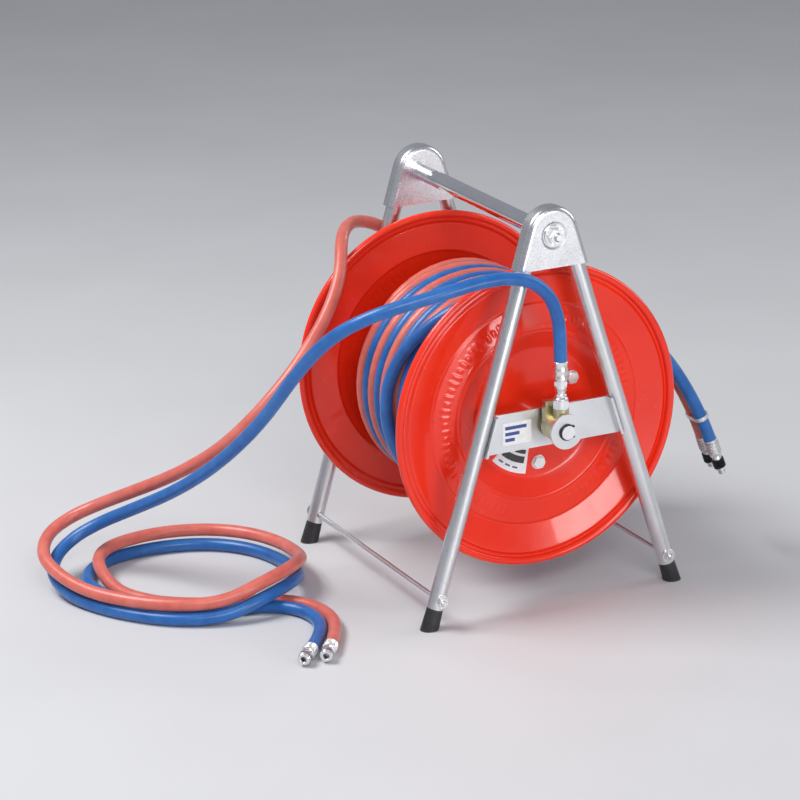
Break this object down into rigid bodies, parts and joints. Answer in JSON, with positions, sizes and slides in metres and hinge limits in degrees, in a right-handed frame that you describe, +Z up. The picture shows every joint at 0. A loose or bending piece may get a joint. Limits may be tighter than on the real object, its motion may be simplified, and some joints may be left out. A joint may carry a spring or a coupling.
{
  "type": "twin gas hose reel",
  "caption": "Portable twin gas hose reel on an A-frame stand, with a turning drum, gas swivels, supply hoses and sprung quick couplers.",
  "frame": {"origin": "on the floor below the middle of the drum's axis", "axes": "+Y along the drum's axis from the blue side to the red side, +X across the stand towards the outlet hoses, +Z up"},
  "size_m": [0.763, 0.426, 0.4702],
  "materials": {
    "red_paint": "gloss orange-red enamel on pressed steel",
    "satin_tube": "satin silver tube",
    "bright_zinc": "bright zinc-plated steel",
    "chrome": "polished chrome",
    "zinc_plate": "zinc-plated steel plate",
    "zinc_fastener": "zinc-plated turned steel",
    "yellow_chromate": "olive-yellow chromate on turned metal",
    "bronze": "sintered bronze",
    "brass": "drawn brass pipe",
    "black_rubber": "black moulded rubber",
    "black_steel": "blackened steel",
    "pale_ferrule": "pale crimped ferrule",
    "blue_hose": "satin blue gas hose",
    "red_hose": "satin salmon-red gas hose"
  },
  "bodies": {
    "stand": {"handle_bar": "chrome", "handle_rod": "zinc_fastener", "handle_washers": "zinc_fastener", "handle_nuts": "zinc_fastener", "near_leg_left": "satin_tube", "near_foot_left": "black_rubber", "near_leg_right": "satin_tube", "near_foot_right": "black_rubber", "near_bracket": "bright_zinc", "near_crossbar": "zinc_plate", "near_bearing_bush": "bronze", "near_swivel_body": "yellow_chromate", "near_end_disc": "zinc_plate", "near_inlet_nipple": "zinc_fastener", "far_leg_left": "satin_tube", "far_foot_left": "black_rubber", "far_leg_right": "satin_tube", "far_foot_right": "black_rubber", "far_bracket": "bright_zinc", "far_crossbar": "zinc_plate", "far_bearing_bush": "bronze", "far_swivel_body": "yellow_chromate", "far_end_disc": "zinc_plate", "far_inlet_nipple": "zinc_fastener", "inlet_nuts": "zinc_fastener", "inlet_ferrules": "pale_ferrule", "swivel_seals": "black_rubber", "tie_rod_left": "zinc_fastener", "tie_rod_right": "zinc_fastener", "tie_rod_washers": "zinc_fastener", "tie_rod_nuts": "zinc_fastener", "outlet_hose_clamp": "zinc_fastener", "supply_ferrules": "pale_ferrule", "outlet_ferrules": "pale_ferrule", "supply_hose_blue": "blue_hose", "supply_coupler_blue": "bright_zinc", "supply_hose_red": "red_hose", "supply_coupler_red": "bright_zinc", "outlet_hose_blue": "blue_hose", "outlet_coupler_blue": "bright_zinc", "outlet_hose_red": "red_hose", "outlet_coupler_red": "bright_zinc"},
    "drum": {"drum_core": "red_paint", "wound_hose": "blue_hose", "flange_bolts": "zinc_fastener", "flange_nuts": "zinc_fastener", "axle_circlips": "black_steel", "near_flange": "red_paint", "near_axle": "zinc_fastener", "near_feed_pipe": "brass", "far_flange": "red_paint", "far_axle": "zinc_fastener", "far_feed_pipe": "brass"},
    "supply_sleeve_blue_body": {"supply_sleeve_blue": "bright_zinc"},
    "supply_sleeve_red_body": {"supply_sleeve_red": "bright_zinc"},
    "outlet_sleeve_blue_body": {"outlet_sleeve_blue": "black_steel"},
    "outlet_sleeve_red_body": {"outlet_sleeve_red": "black_steel"}
  },
  "joints": [
    {"name": "drum_spin", "type": "hinge", "parent": "stand", "child": "drum", "pos_m": [0, 0, 0.2178], "axis": [0, 1, 0], "continuous": true},
    {"name": "supply_sleeve_blue_slide", "type": "slide", "parent": "stand", "child": "supply_sleeve_blue_body", "axis": [0.64, 0.768, -0.0256], "range_m": [0, 0.004], "stiffness_N_per_m": 300, "springref_m": -0.001},
    {"name": "supply_sleeve_red_slide", "type": "slide", "parent": "stand", "child": "supply_sleeve_red_body", "axis": [0.5645, 0.825, -0.0261], "range_m": [0, 0.004], "stiffness_N_per_m": 300, "springref_m": -0.001},
    {"name": "outlet_sleeve_blue_slide", "type": "slide", "parent": "stand", "child": "outlet_sleeve_blue_body", "axis": [-0.3356, 0.0671, 0.9396], "range_m": [0, 0.004], "stiffness_N_per_m": 300, "springref_m": -0.001},
    {"name": "outlet_sleeve_red_slide", "type": "slide", "parent": "stand", "child": "outlet_sleeve_red_body", "axis": [-0.3638, -0.0992, 0.9262], "range_m": [0, 0.004], "stiffness_N_per_m": 300, "springref_m": -0.001}
  ]
}
